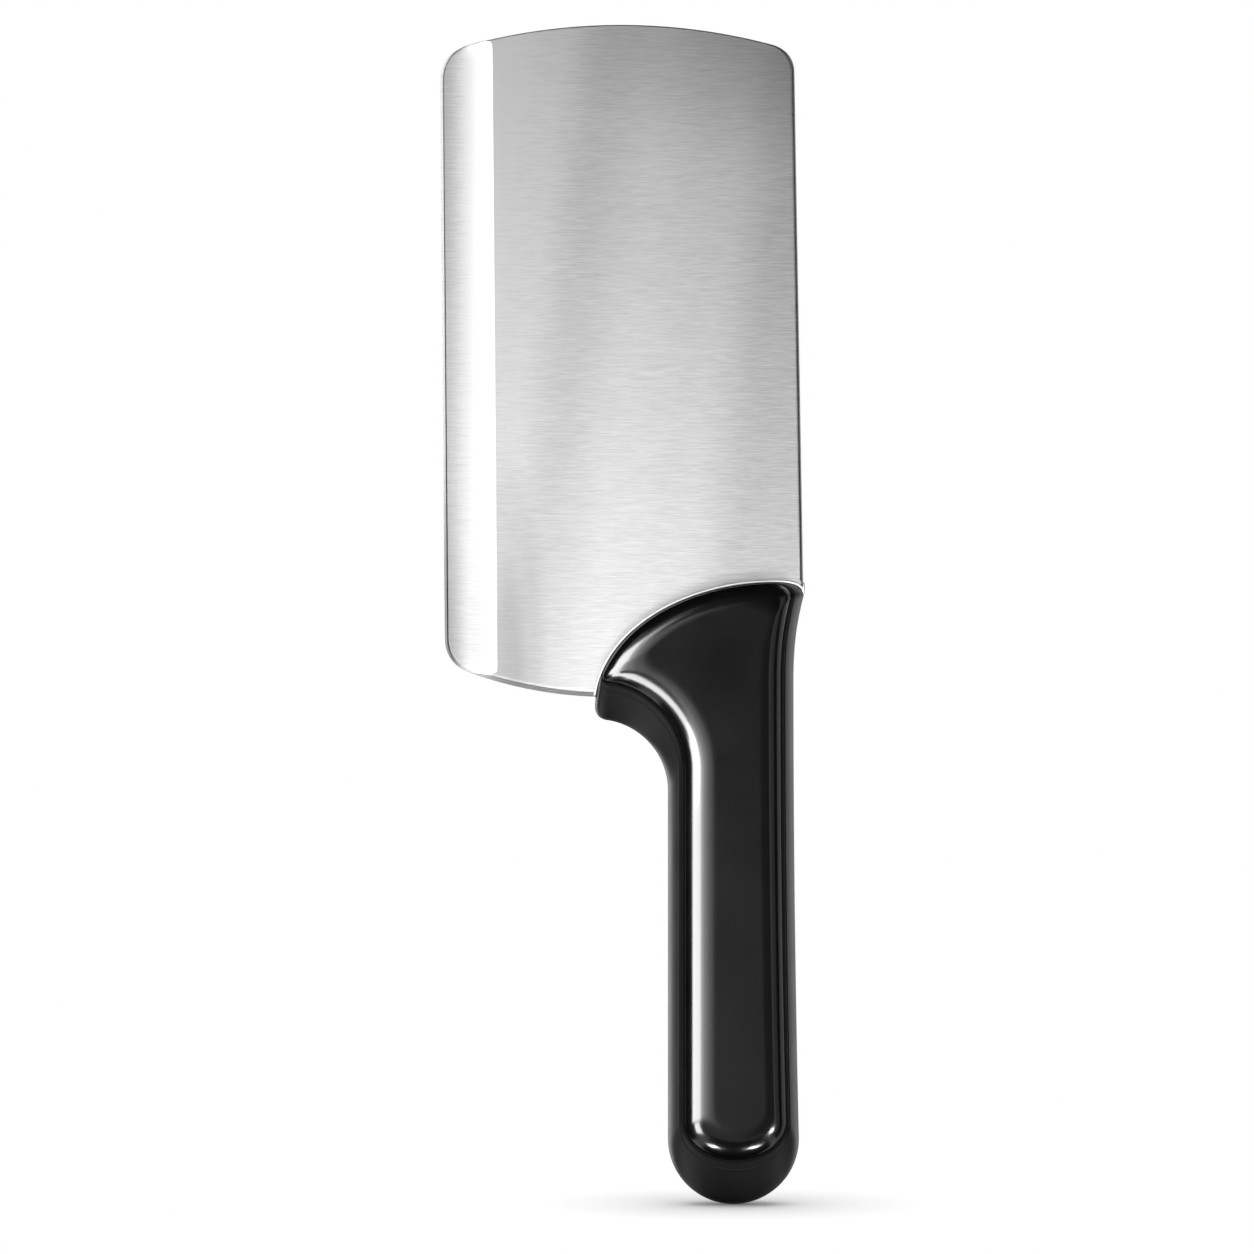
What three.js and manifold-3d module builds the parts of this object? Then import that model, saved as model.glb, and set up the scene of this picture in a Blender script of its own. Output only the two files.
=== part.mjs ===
// A wide-bladed kitchen knife, handle down: a ground steel blade with a hidden tang, held between two
// moulded handle cores that three pairs of compression rivets clamp through the tang. A gloss scale
// covers each core and its rivet heads, and a polished collar edges the handle's mouth on the blade.
//
// Millimetres. X runs from the cutting edge to the spine, Z from the butt to the tip, and Y from the
// front of the knife to its back. The origin is the middle of the blade's flat back face.

import * as THREE from "three";
import { mergeVertices } from "three/addons/utils/BufferGeometryUtils.js";
import Module from "manifold-3d";

const wasm = await Module();
wasm.setup();

// Blade
const bladeLength = 160; // heel to tip
const bladeWidth = 85; // cutting edge to spine, half way up
const bladeThickness = 2.5;
const edgeLean = 1.3; // how far the cutting edge leans towards the spine, tip to heel
const spineLean = 2.8; // how far the spine leans outwards, tip to heel
const tipRadius = 140; // the curved tip and heel
const heelRadius = 100;
const heelLowX = -2.6; // the lowest point of the heel
const tipEdgeCorner = 7.2; // the rounded corners, measured along each side
const tipSpineCorner = 5;
const heelEdgeCorner = 5.9;
const grindWidth = 12.5; // the ground bevel behind the cutting edge
const grindEndRun = 2.2; // the grind line curves away towards the edge at both ends
const grindEndFlare = 1.2;
const edgeLandThickness = 0.5; // steel left where the honed edge begins
const honedWidth = 0.6;
const honedEdgeThickness = 0.08;
const spineEase = 0.9; // the eased borders of the blade's faces
const tipEase = 0.35;
const heelEase = 1.7;

// Handle outline
const handleLength = 120.7; // heel of the blade to the end of the butt
const handleThickness = 20;
const gripWidth = 31.2; // across the half-round butt
const wingReach = 18; // how far the wing under the heel stands out from the grip
const wingDrop = 5.3; // how far the wing hangs below the heel
const wingTipRound = 3.4;
const choilRadius = 17; // the finger curve between the grip and the wing
const mouthRise = 27.9; // how far the handle climbs the spine above the heel
const mouthLean = 1.6; // the pull of the mouth's curve at the wing and at the spine
const mouthPullWing = 19.6;
const mouthPullSpine = 23.5;
const mouthCornerRun = 6.8; // the handle's rounded corner at the spine
const mouthCornerDrop = 3.2;
const waistInset = 2.4; // how far the waist and the butt lie inside the spine
const buttInset = 1.1;
const waistRise = 4; // the waist's height above the heel

// Scales, whose seam and flat face are drawn in from the handle's outline
const seamInsetGrip = 3.2; // on the finger side
const seamInsetWing = 8.4;
const seamInsetSpine = 2.5;
const seamInsetButt = 10.2;
const seamLiftButt = 4.4; // how far the seam's round end is lifted
const seamTipRound = 1.2;
const seamDepth = 5; // how far the seam stands off the blade's middle plane
const scaleRound = 3.6; // the rounded border between the seam and the face
const scaleRoundButt = 8;
const scaleRoundMouth = 3;
const faceTipRound = 0.6;

// Collar
const collarWidth = 0.65;
const collarProud = 0.6; // how far it stands out from the blade's faces and spine

// Tang
const tangWidth = 14;
const tangEndGap = 24; // from the end of the tang to the end of the butt
const shoulderRun = 14; // the curve where the heel runs into the tang
const shoulderCover = 4.5; // handle material outside the blade's shoulder at the spine
const tangRelief = 0.15; // how much thinner each side is where the handle and the collar cover the steel
const reliefMargin = 0.25; // from the collar to the step in the blade's face

// Rivets, a stud pressed into a socket from the other side
const rivetCount = 3;
const rivetPitch = 38;
const firstRivetDrop = 12; // below the heel
const rivetHeadRadius = 3.5;
const rivetHeadThickness = 1;
const socketTubeRadius = 2.2;
const studShankRadius = 1.5;
const rivetEndGap = 0.6; // from the end of a tube or shank to the head that it faces

// Locating posts under each scale
const postRadius = 2;
const postLength = 2.4;
const wingPostRun = 18; // from the grip's axis towards the wing
const wingPostRise = 12; // above the heel

// Clearances
const pocketClearance = 0.2; // round the tang, in the plane of the blade
const faceClearance = 0.1; // between the tang's faces and its pocket
const collarClearance = 0.1;
const rivetClearance = 0.15;
const postClearance = 0.15;

// Facets
const straightSteps = 2;
const curveSteps = 10;
const cornerSteps = 5;
const buttSteps = 16;
const borderRings = 4; // in a rounded border
const roundSides = 16;

// Places worked out from the sizes above
const heelZ = -bladeLength / 2;
const tipZ = bladeLength / 2;
const halfBlade = bladeThickness / 2;
const halfTang = halfBlade - tangRelief;
const halfHandle = handleThickness / 2;
const edgeXAt = (z) => -bladeWidth / 2 - (edgeLean * z) / bladeLength;
const spineXAt = (z) => bladeWidth / 2 - (spineLean * z) / bladeLength;
const mouthZ = heelZ + mouthRise;
const mouthCornerZ = mouthZ - mouthCornerDrop;
const mouthX = spineXAt(mouthCornerZ);
const waistX = mouthX - waistInset;
const buttRadius = gripWidth / 2;
const buttEndZ = heelZ - handleLength;
const gripX = mouthX - buttInset - buttRadius; // the grip's axis
const gripFrontX = gripX - buttRadius;
const rivetZ = (i) => heelZ - firstRivetDrop - i * rivetPitch;
const postPlaces = [
  [gripX - wingPostRun, heelZ + wingPostRise],
  [gripX, rivetZ(0.5)],
  [gripX, rivetZ(1.5)],
];

const satinSteel = new THREE.MeshStandardMaterial({ color: 0xc6c8c9, roughness: 0.32, metalness: 1 });
const polishedSteel = new THREE.MeshStandardMaterial({ color: 0xe6e8ea, roughness: 0.1, metalness: 1 });
const rivetSteel = new THREE.MeshStandardMaterial({ color: 0xb4b6b8, roughness: 0.35, metalness: 1 });
const satinBlack = new THREE.MeshStandardMaterial({ color: 0x232323, roughness: 0.42, metalness: 0 });
const glossBlack = new THREE.MeshStandardMaterial({ color: 0x141414, roughness: 0.08, metalness: 0 });

// Outlines are drawn counter-clockwise in the plane of the blade, as (x, z), from these curves.
const at = (x, z) => new THREE.Vector2(x, z);
const line = (a, b) => new THREE.LineCurve(a, b);
const bend = (a, b, c) => new THREE.QuadraticBezierCurve(a, b, c);
const sweep = (a, b, c, d) => new THREE.CubicBezierCurve(a, b, c, d);
const arc = (x, z, radiusX, radiusZ, from, to) =>
  new THREE.EllipseCurve(x, z, radiusX, radiusZ, from, to, to < from);

// Points along a closed run of [curve, steps] pairs, each curve starting where the last one ends.
const outlineOf = (stretches) =>
  stretches.flatMap(([curve, steps]) => curve.getPoints(steps).slice(0, -1));

const blend = (outlineA, outlineB, share) => outlineA.map((point, i) => point.clone().lerp(outlineB[i], share));

// An outline moved outwards by a small distance, square to its own line.
function grown(outline, distance) {
  return outline.map((point, i) => {
    const before = outline.at(i - 1);
    const after = outline[(i + 1) % outline.length];
    const along = after.clone().sub(before).normalize();
    return point.clone().add(at(along.y, -along.x).multiplyScalar(distance));
  });
}

// A stretch of another curve, moved to its left.
class ParallelCurve extends THREE.Curve {
  constructor(base, inset, from = 0, to = 1) {
    super();
    Object.assign(this, { base, inset, from, to });
  }

  getPoint(t) {
    const along = THREE.MathUtils.lerp(this.from, this.to, t);
    const tangent = this.base.getTangent(along);
    return this.base.getPoint(along).add(at(-tangent.y, tangent.x).multiplyScalar(this.inset));
  }
}

// How far along a curve a measure of its points falls to nought, or the curve's end if it never does.
function fallsToNought(curve, measure) {
  let [above, below] = [0, 1];
  if (measure(curve.getPoint(1)) > 0) return 1;
  for (let halving = 0; halving < 40; halving++) {
    const middle = (above + below) / 2;
    if (measure(curve.getPoint(middle)) > 0) above = middle;
    else below = middle;
  }
  return above;
}

// A closed solid through matching outlines, each [outline, y], from the front of the knife to its back.
function loft(rings) {
  const count = rings[0][0].length;
  const last = (rings.length - 1) * count;
  const positions = rings.flatMap(([outline, y]) => outline.flatMap((point) => [point.x, y, point.y]));
  const front = THREE.ShapeUtils.triangulateShape(rings[0][0], []);
  const back = THREE.ShapeUtils.triangulateShape(rings.at(-1)[0], []);
  const index = front.flat().concat(back.flatMap(([a, b, c]) => [last + a, last + c, last + b]));
  for (let start = 0; start < last; start += count) {
    for (let i = 0; i < count; i++) {
      const a = start + i;
      const b = start + ((i + 1) % count);
      index.push(a, a + count, b, b, a + count, b + count);
    }
  }
  const geometry = new THREE.BufferGeometry();
  geometry.setAttribute("position", new THREE.Float32BufferAttribute(positions, 3));
  return geometry.setIndex(index);
}

// A round bar along Y, from one depth to another.
const bar = (radius, x, z, fromY, toY) =>
  new THREE.CylinderGeometry(radius, radius, toY - fromY, roundSides).translate(x, (fromY + toY) / 2, z);

function solid(geometry) {
  const bare = geometry.clone();
  bare.deleteAttribute("normal");
  bare.deleteAttribute("uv");
  const { index, attributes } = mergeVertices(bare, 1e-5);
  const vertProperties = new Float32Array(attributes.position.array);
  const triVerts = new Uint32Array(index.array);
  return new wasm.Manifold(new wasm.Mesh({ numProp: 3, vertProperties, triVerts }));
}

function geometryOf(manifold) {
  const { vertProperties, triVerts } = manifold.getMesh();
  const geometry = new THREE.BufferGeometry();
  geometry.setAttribute("position", new THREE.BufferAttribute(vertProperties, 3));
  return geometry.setIndex(new THREE.BufferAttribute(triVerts, 1));
}

const joined = (body, pieces) => pieces.reduce((whole, piece) => whole.add(solid(piece)), solid(body));
const cut = (manifold, tools) => tools.reduce((left, tool) => left.subtract(solid(tool)), manifold);

// The outline of the blade and tang, drawn in by an inset on each side. A corner at the cutting edge
// runs some way along the edge and reaches some way along the tip or heel, or flares if the reach is negative.
function bladeOutline({ edge, heel, spine, tip, tipCorner, heelCorner }) {
  const tipCentre = at(0, tipZ - tipRadius);
  const heelCentre = at(heelLowX, heelZ + heelRadius);
  const tipAngle = (x) => Math.acos((x - tipCentre.x) / (tipRadius - tip));
  const heelAngle = (x) => -Math.acos((x - heelCentre.x) / (heelRadius - heel));
  const tipPoint = (x) => at(x, tipCentre.y + (tipRadius - tip) * Math.sin(tipAngle(x)));
  const heelPoint = (x) => at(x, heelCentre.y + (heelRadius - heel) * Math.sin(heelAngle(x)));
  const tipArc = (fromX, toX) =>
    arc(tipCentre.x, tipCentre.y, tipRadius - tip, tipRadius - tip, tipAngle(fromX), tipAngle(toX));
  const heelArc = (fromX, toX) =>
    arc(heelCentre.x, heelCentre.y, heelRadius - heel, heelRadius - heel, heelAngle(fromX), heelAngle(toX));

  const edgeTip = tipPoint(edgeXAt(tipZ) + edge);
  const edgeHeel = heelPoint(edgeXAt(heelZ) + edge);
  const spineTip = tipPoint(spineXAt(tipZ) - spine);
  const edgeStart = at(edgeXAt(edgeTip.y - tipCorner.run) + edge, edgeTip.y - tipCorner.run);
  const edgeEnd = at(edgeXAt(edgeHeel.y + heelCorner.run) + edge, edgeHeel.y + heelCorner.run);
  const tipReach = tipPoint(edgeTip.x + tipCorner.reach);
  const heelReach = heelPoint(edgeHeel.x + heelCorner.reach);
  const grindTipX = edgeXAt(tipZ) + grindWidth + grindEndFlare;
  const grindHeelX = edgeXAt(heelZ) + grindWidth + grindEndFlare;

  const tangLeft = gripX - tangWidth / 2;
  const tangRight = gripX + tangWidth / 2;
  const tangEndZ = buttEndZ + tangEndGap + tangWidth / 2;
  const heelShoulder = heelPoint(tangLeft - shoulderRun);
  const spineShoulderX = waistX - shoulderCover;
  const spineShoulderZ = mouthCornerZ - shoulderCover;
  const spineEnd = at(spineXAt(mouthCornerZ) - spine, mouthCornerZ - collarWidth);
  const spineTop = at(spineXAt(spineTip.y - tipSpineCorner) - spine, spineTip.y - tipSpineCorner);

  return outlineOf([
    [line(edgeStart, edgeEnd), straightSteps],
    [bend(edgeEnd, edgeHeel, heelReach), cornerSteps],
    [heelArc(heelReach.x, grindHeelX), cornerSteps],
    [heelArc(grindHeelX, heelShoulder.x), curveSteps],
    [bend(heelShoulder, at(tangLeft, heelShoulder.y), at(tangLeft, heelZ - shoulderRun)), cornerSteps],
    [line(at(tangLeft, heelZ - shoulderRun), at(tangLeft, tangEndZ)), straightSteps],
    [arc(gripX, tangEndZ, tangWidth / 2, tangWidth / 2, Math.PI, 2 * Math.PI), curveSteps],
    [line(at(tangRight, tangEndZ), at(tangRight, heelZ)), straightSteps],
    [line(at(tangRight, heelZ), at(spineShoulderX, heelZ + shoulderRun)), 1],
    [line(at(spineShoulderX, heelZ + shoulderRun), at(spineShoulderX, spineShoulderZ)), 1],
    [line(at(spineShoulderX, spineShoulderZ), spineEnd), 1],
    [line(spineEnd, spineTop), straightSteps],
    [bend(spineTop, spineTip, tipPoint(spineTip.x - tipSpineCorner)), cornerSteps],
    [tipArc(spineTip.x - tipSpineCorner, grindTipX), curveSteps],
    [tipArc(grindTipX, tipReach.x), cornerSteps],
    [bend(tipReach, edgeTip, edgeStart), cornerSteps],
  ]);
}

const roundCorners = {
  tipCorner: { run: tipEdgeCorner, reach: tipEdgeCorner },
  heelCorner: { run: heelEdgeCorner, reach: heelEdgeCorner },
};
const grindEnds = { run: grindEndRun, reach: -grindEndFlare };
const bladeBorder = bladeOutline({ edge: 0, heel: 0, spine: 0, tip: 0, ...roundCorners });
const bladeLand = bladeOutline({ edge: honedWidth, heel: 0, spine: 0, tip: 0, ...roundCorners });
const bladeFace = bladeOutline({
  edge: grindWidth,
  heel: heelEase,
  spine: spineEase,
  tip: tipEase,
  tipCorner: grindEnds,
  heelCorner: grindEnds,
});

// The handle's mouth on the blade, from the spine down to the tip of the wing.
const wingTip = at(gripFrontX - wingReach, heelZ - wingDrop);
const mouth = sweep(
  at(mouthX - mouthCornerRun, mouthZ),
  at(mouthX - mouthCornerRun - mouthPullSpine, mouthZ),
  at(wingTip.x - mouthLean, wingTip.y + mouthPullWing),
  wingTip,
);

// The outline of the handle, or one drawn in from it by an inset on each side.
function handleOutline({ grip, wing, spine, butt, buttLift, mouthInset, tipRound }) {
  const choil = at(gripFrontX - choilRadius, wingTip.y + wing - choilRadius - grip);
  const radius = choilRadius + grip;
  const edge = new ParallelCurve(mouth, mouthInset);
  const cornerX = mouthX - spine;
  const mouthStart = fallsToNought(edge, (point) => point.x - (cornerX - mouthCornerRun));
  const tipShare = fallsToNought(edge, (point) => point.distanceTo(choil) - radius);
  const tip = edge.getPoint(tipShare);
  const mouthEnd = tipShare - tipRound / mouth.getLength();
  const tipAngle = Math.atan2(tip.y - choil.y, tip.x - choil.x);
  const choilStart = tipAngle - tipRound / radius;

  const left = gripFrontX + grip;
  const right = mouthX - buttInset - spine;
  const roundZ = buttEndZ + buttRadius + buttLift;
  const roundDrop = buttRadius + buttLift - butt;
  const waist = at(waistX - spine, heelZ + waistRise);
  const corner = at(cornerX, mouthCornerZ - mouthInset);
  const waistPull = (corner.y - waist.y) / 2;
  const mouthTop = edge.getPoint(mouthStart);

  const choilCurve = arc(choil.x, choil.y, radius, radius, choilStart, 0);
  return outlineOf([
    [choilCurve, curveSteps],
    [line(at(left, choil.y), at(left, roundZ)), straightSteps],
    [arc((left + right) / 2, roundZ, (right - left) / 2, roundDrop, Math.PI, 2 * Math.PI), buttSteps],
    [bend(at(right, roundZ), at(waist.x, (roundZ + waist.y) / 2), waist), cornerSteps],
    [sweep(waist, at(waist.x, waist.y + waistPull), between(waist, corner), corner), cornerSteps],
    [bend(corner, at(cornerX, mouthTop.y), mouthTop), cornerSteps],
    [new ParallelCurve(mouth, mouthInset, mouthStart, mouthEnd), curveSteps],
    [bend(edge.getPoint(mouthEnd), tip, choilCurve.getPoint(0)), cornerSteps],
  ]);
}

// Where the line of the spine, carried down from the mouth's corner, has swung half way to the waist.
function between(waist, corner) {
  return at((waist.x + corner.x) / 2, corner.y - (corner.y - waist.y) / 4);
}

const coreInsets = { grip: 0, wing: 0, spine: 0, butt: 0, buttLift: 0, tipRound: wingTipRound };
const seamInsets = {
  grip: seamInsetGrip,
  wing: seamInsetWing,
  spine: seamInsetSpine,
  butt: seamInsetButt,
  buttLift: seamLiftButt,
  tipRound: seamTipRound,
};
const faceInsets = {
  grip: seamInsetGrip + scaleRound,
  wing: seamInsetWing + scaleRound,
  spine: seamInsetSpine + scaleRound,
  butt: seamInsetButt + scaleRoundButt,
  buttLift: seamLiftButt + scaleRound,
  tipRound: faceTipRound,
};

// Rings of a rounded border, square to the blade at the outer outline and flat at the inner one.
function roundedBorder(outer, inner, fromY, toY) {
  return Array.from({ length: borderRings + 1 }, (_, ring) => {
    const angle = (ring / borderRings) * (Math.PI / 2);
    return [blend(outer, inner, 1 - Math.cos(angle)), THREE.MathUtils.lerp(fromY, toY, Math.sin(angle))];
  });
}

// The same outline at two depths.
const slab = (outline, fromY, toY) =>
  loft([
    [outline, fromY],
    [outline, toY],
  ]);
const plate = (outline, reach) => slab(outline, -reach, reach);

function makeBlade() {
  const covered = handleOutline({ ...coreInsets, spine: -collarProud, mouthInset: -reliefMargin });
  const relief = [slab(covered, -bladeThickness, -halfTang), slab(covered, halfTang, bladeThickness)];
  const front = [
    [bladeFace, -halfBlade],
    [bladeLand, -edgeLandThickness / 2],
    [bladeBorder, -honedEdgeThickness / 2],
  ];
  const back = front.map(([outline, y]) => [outline, -y]).reverse();
  const holes = Array.from({ length: rivetCount }, (_, i) =>
    bar(socketTubeRadius + rivetClearance, gripX, rivetZ(i), -bladeThickness, bladeThickness),
  );
  return geometryOf(cut(solid(loft([...front, ...back])), [...relief, ...holes]));
}

// The collar's band along the mouth, from the far side of the spine to the heel.
function collarOutline() {
  const spineSide = mouthX + collarProud;
  const inner = new ParallelCurve(mouth, collarWidth);
  const heelShare = fallsToNought(inner, (point) => point.y - heelZ);
  const outerStart = at(spineSide, mouthCornerZ);
  const innerStart = at(mouthX - collarWidth, mouthCornerZ);
  const innerTop = inner.getPoint(0);
  return outlineOf([
    [bend(outerStart, at(spineSide, mouthZ), mouth.getPoint(0)), cornerSteps],
    [new ParallelCurve(mouth, 0, 0, heelShare), curveSteps],
    [line(mouth.getPoint(heelShare), inner.getPoint(heelShare)), 1],
    [new ParallelCurve(mouth, collarWidth, heelShare, 0), curveSteps],
    [bend(innerTop, at(innerStart.x, innerTop.y), innerStart), cornerSteps],
    [line(innerStart, outerStart), 1],
  ]);
}

function makeCollar() {
  const band = plate(collarOutline(), halfBlade + collarProud);
  const bladeSlot = plate(grown(bladeBorder, collarClearance), halfTang);
  return geometryOf(cut(solid(band), [bladeSlot]));
}

// The front core, from the middle plane out to the seat of its scale.
function makeCore() {
  const mouthInset = collarWidth / 2; // the collar's seat is cut past it
  const outer = handleOutline({ ...coreInsets, mouthInset });
  const seat = handleOutline({ ...seamInsets, mouthInset });
  const body = loft(roundedBorder(outer, seat, 0, -seamDepth).reverse());
  const tangPocket = plate(grown(bladeBorder, pocketClearance), halfTang + faceClearance);
  const collarSeat = plate(grown(collarOutline(), collarClearance), halfHandle);
  const rivetHoles = Array.from({ length: rivetCount }, (_, i) => [
    bar(socketTubeRadius + rivetClearance, gripX, rivetZ(i), -halfHandle, halfHandle),
    bar(rivetHeadRadius + rivetClearance, gripX, rivetZ(i), -halfHandle, rivetHeadThickness - seamDepth),
  ]).flat();
  const postHoles = postPlaces.map(([x, z]) =>
    bar(postRadius + postClearance, x, z, -halfHandle, postLength + postClearance - seamDepth),
  );
  return geometryOf(cut(solid(body), [tangPocket, collarSeat, ...rivetHoles, ...postHoles]));
}

// The front scale, seated on its core by posts.
function makeScale() {
  const mouthInset = collarWidth + collarClearance;
  const seam = handleOutline({ ...seamInsets, mouthInset });
  const face = handleOutline({ ...faceInsets, mouthInset: mouthInset + scaleRoundMouth });
  const cover = loft(roundedBorder(seam, face, -seamDepth, -halfHandle).reverse());
  const posts = postPlaces.map(([x, z]) => bar(postRadius, x, z, -halfHandle + 1, postLength - seamDepth));
  return geometryOf(joined(cover, posts));
}

// The same piece on the other side of the blade, with its faces turned back out.
function mirrored(geometry) {
  const other = geometry.clone().scale(1, -1, 1);
  const index = other.index.array;
  for (let i = 0; i < index.length; i += 3) {
    [index[i + 1], index[i + 2]] = [index[i + 2], index[i + 1]];
  }
  return other;
}

// A rivet's front half: a head with a tube that is bored from its far end.
function makeSocket(z) {
  const headInside = rivetHeadThickness - seamDepth;
  const tubeEnd = -headInside - rivetEndGap;
  const head = bar(rivetHeadRadius, gripX, z, -seamDepth, headInside);
  const tube = bar(socketTubeRadius, gripX, z, -seamDepth + rivetHeadThickness / 2, tubeEnd);
  const bore = bar(studShankRadius + rivetClearance, gripX, z, headInside, tubeEnd + 1);
  return geometryOf(cut(joined(head, [tube]), [bore]));
}

// A rivet's back half: a head with a plain shank.
function makeStud(z) {
  const headInside = seamDepth - rivetHeadThickness;
  const head = bar(rivetHeadRadius, gripX, z, headInside, seamDepth);
  const shank = bar(studShankRadius, gripX, z, rivetEndGap - headInside, seamDepth - rivetHeadThickness / 2);
  return geometryOf(joined(head, [shank]));
}

const knife = new THREE.Group();
knife.position.y = -halfBlade;

function addPiece(name, geometry, material) {
  geometry.computeVertexNormals();
  const mesh = new THREE.Mesh(geometry, material);
  mesh.name = name;
  knife.add(mesh);
}

addPiece("blade", makeBlade(), satinSteel);
addPiece("collar", makeCollar(), polishedSteel);
addPiece("core_front", makeCore(), satinBlack);
addPiece("core_back", mirrored(makeCore()), satinBlack);
addPiece("scale_front", makeScale(), glossBlack);
addPiece("scale_back", mirrored(makeScale()), glossBlack);
for (let i = 0; i < rivetCount; i++) {
  addPiece(`rivet_socket_${i + 1}`, makeSocket(rivetZ(i)), rivetSteel);
  addPiece(`rivet_stud_${i + 1}`, makeStud(rivetZ(i)), rivetSteel);
}

export default knife;
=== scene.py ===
# A wide-bladed kitchen knife standing handle down on a white table, seen square from the front.
# The blade, its collar, the two halves of the handle's core and the two gloss scales are drawn here
# from the sizes of the solids, in finer steps and with softer forms, and each takes its solid's place.
# The rivets stay as they are, inside the handle.

import math

import bmesh
import bpy
import numpy as np
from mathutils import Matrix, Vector


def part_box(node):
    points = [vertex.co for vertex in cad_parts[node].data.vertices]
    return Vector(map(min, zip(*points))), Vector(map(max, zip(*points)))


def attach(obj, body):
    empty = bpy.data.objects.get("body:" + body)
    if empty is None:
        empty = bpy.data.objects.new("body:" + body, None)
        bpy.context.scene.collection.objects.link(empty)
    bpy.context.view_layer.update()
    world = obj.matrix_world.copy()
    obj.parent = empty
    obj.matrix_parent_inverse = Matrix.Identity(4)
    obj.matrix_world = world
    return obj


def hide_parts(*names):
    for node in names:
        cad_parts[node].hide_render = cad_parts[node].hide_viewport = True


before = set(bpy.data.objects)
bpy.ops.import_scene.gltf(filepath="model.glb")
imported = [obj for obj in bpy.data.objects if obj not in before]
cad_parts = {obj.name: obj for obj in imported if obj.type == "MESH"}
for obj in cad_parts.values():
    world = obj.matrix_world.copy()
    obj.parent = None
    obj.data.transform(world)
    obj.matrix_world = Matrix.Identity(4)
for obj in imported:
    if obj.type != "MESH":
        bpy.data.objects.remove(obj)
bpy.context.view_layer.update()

MM = 0.001  # sizes are in millimetres until a mesh is made
Y, Z = 1, 2  # places of these axes in a point


def extent(node, axis):
    low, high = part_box(node)
    return low[axis] / MM, high[axis] / MM


# Read from the solids: the blade's middle plane, depths from it, and the end of the butt
BLADE_FRONT, BLADE_BACK = extent("blade", Y)
MIDDLE_Y = (BLADE_FRONT + BLADE_BACK) / 2
HALF_BLADE = (BLADE_BACK - BLADE_FRONT) / 2
SEAM_DEPTH = MIDDLE_Y - extent("core_front", Y)[0]
FACE_DEPTH = MIDDLE_Y - extent("scale_front", Y)[0]
BUTT_END_Z = extent("core_front", Z)[0]

# Blade
BLADE_LENGTH = 160
BLADE_WIDTH = 85
EDGE_LEAN = 1.3
SPINE_LEAN = 2.8
TIP_RADIUS = 140
HEEL_RADIUS = 100
HEEL_LOW_X = -2.6
TIP_EDGE_CORNER = 7.2
TIP_SPINE_CORNER = 5
HEEL_EDGE_CORNER = 5.9
GRIND_WIDTH = 12.5
GRIND_END_RUN = 2.2
GRIND_END_FLARE = 1.2
GRIND_HOLLOW = 0.24  # how far the ground bevel is hollowed, as a share of its depth
HALF_LAND = 0.58
HALF_STEP = 0.25  # a fine step, seen as a dark line, parts the honed strip from the bevel
HONED_WIDTH = 0.6
STEP_WIDTH = 0.3
HALF_HONED_EDGE = 0.04
SPINE_EASE = 1.1
TIP_EASE = 0.35
HEEL_CHAMFER = 0.95  # the heel has a chamfer, then a rounded shoulder
HEEL_SHOULDER = 0.75
CHAMFER_START = 0.2  # depths of the heel's chamfer, as shares of half the blade
CHAMFER_END = 0.75

# Handle
GRIP_WIDTH = 31.2
WING_REACH = 18
WING_DROP = 5.3
WING_TIP_ROUND = 3.4
CHOIL_RADIUS = 17
MOUTH_RISE = 27.9
MOUTH_LEAN = 1.6
MOUTH_PULL_WING = 19.6
MOUTH_PULL_SPINE = 23.5
MOUTH_CORNER_RUN = 6.8
MOUTH_CORNER_DROP = 3.2
WAIST_INSET = 2.4
BUTT_INSET = 1.1
WAIST_RISE = 4
SEAM_INSET_GRIP = 3.2
SEAM_INSET_WING = 8.4
SEAM_INSET_SPINE = 2.5
SEAM_INSET_BUTT = 10.2
SEAM_LIFT_BUTT = 4.4
SEAM_TIP_ROUND = 3.4
PARTING_GROOVE = 0.15  # the fine groove where the two halves of the core meet
SEAT_WIDTH = 2.5  # the ledge under the scale
RIM_POWER = 0.6  # how the rim rises from its border to the scale
RIM_LINE_PLACE = 0.82  # a fine moulded line round the scale, as a share of the rim
RIM_LINE_HALF_WIDTH = 0.03
RIM_LINE_HEIGHT = 0.26

# Scales: a steep wall that turns over a shoulder into a nearly flat face
BORDER_GRIP = 8.6
BORDER_SPINE = 6
BORDER_BUTT = 9
BORDER_LIFT = 3.6
BORDER_MOUTH = 6
SHOULDER_POWER = 2.6
FACE_TIP_ROUND = 6
FLAT_START = 0.6  # where evenly spaced rings take over from the shoulder's, as a share of the border
BASE_CHAMFER = 0.12
GROOVE_WIDTH = 0.45  # the shadow groove between the rim and the scale
GROOVE_DEPTH = 0.8
MOUTH_GROOVE = 0.05  # there is next to none along the mouth

# Collar
COLLAR_WIDTH = 0.65
COLLAR_PROUD = 0.6
COLLAR_GAP = 0.1
COLLAR_SINK = 0.05  # the bead's base lies under the blade's face
COLLAR_SQUARENESS = 0.45
COLLAR_END_HALF_HEIGHT = 1.3  # the collar's end, which wraps round the spine
COLLAR_END_PROUD = 0.3
COLLAR_END_TAPER = 0.6  # the size of its two outer faces, as a share of its middle

# Tang
TANG_WIDTH = 14
TANG_END_GAP = 24
SHOULDER_RUN = 14
SHOULDER_COVER = 4.5

# Steps along each kind of curve, and rings across each kind of surface
STRAIGHT_STEPS = 8
CURVE_STEPS = 48
CORNER_STEPS = 18
BUTT_STEPS = 72
BORDER_RINGS = 22
FACE_RINGS = 10
BEVEL_RINGS = 16
BEAD_SIDES = 14
BEVEL_CROWDING = 1.5  # draws the bevel's rings together towards the grind line
LENGTH_STEPS = 200  # for measuring a curve
HALVINGS = 40  # for finding a place on a curve

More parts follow.
